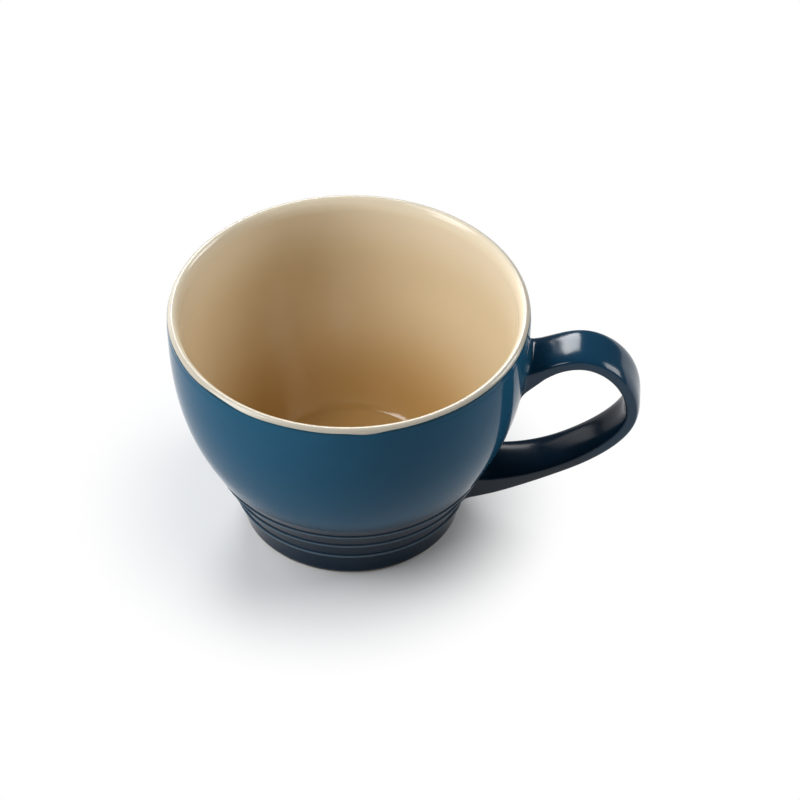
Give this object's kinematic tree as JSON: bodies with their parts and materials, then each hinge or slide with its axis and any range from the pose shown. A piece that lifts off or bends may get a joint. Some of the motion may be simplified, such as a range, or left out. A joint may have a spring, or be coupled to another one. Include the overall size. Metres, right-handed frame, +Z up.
{
  "type": "stoneware mug",
  "caption": "Round stoneware mug on a flared foot with turned ridges and a strap handle, glazed sand inside and blue outside, for hot drinks.",
  "frame": {"origin": "on the table plane under the foot, at the middle of the whole mug's length and width; the bowl's own upright axis passes through x = -0.0168 m, y = 0", "axes": "+X from the bowl towards the handle, +Z up out of the mouth, Y across the handle's plane"},
  "size_m": [0.1418, 0.1082, 0.078],
  "materials": {
    "bare_stoneware": "fired stoneware clay, bare and matt, fine gritty surface",
    "luting_slip": "fired clay slip, matt, hidden inside the joints",
    "sand_glaze": "opaque glossy sand-coloured liner glaze",
    "blue_glaze": "glossy deep blue glaze, darker where it lies thick on the foot and the handle"
  },
  "bodies": {
    "root": {"clay_body": "bare_stoneware", "handle": "bare_stoneware", "upper_slip_joint": "luting_slip", "lower_slip_joint": "luting_slip", "inner_glaze": "sand_glaze", "outer_glaze": "blue_glaze", "base_glaze": "sand_glaze"}
  },
  "joints": []
}
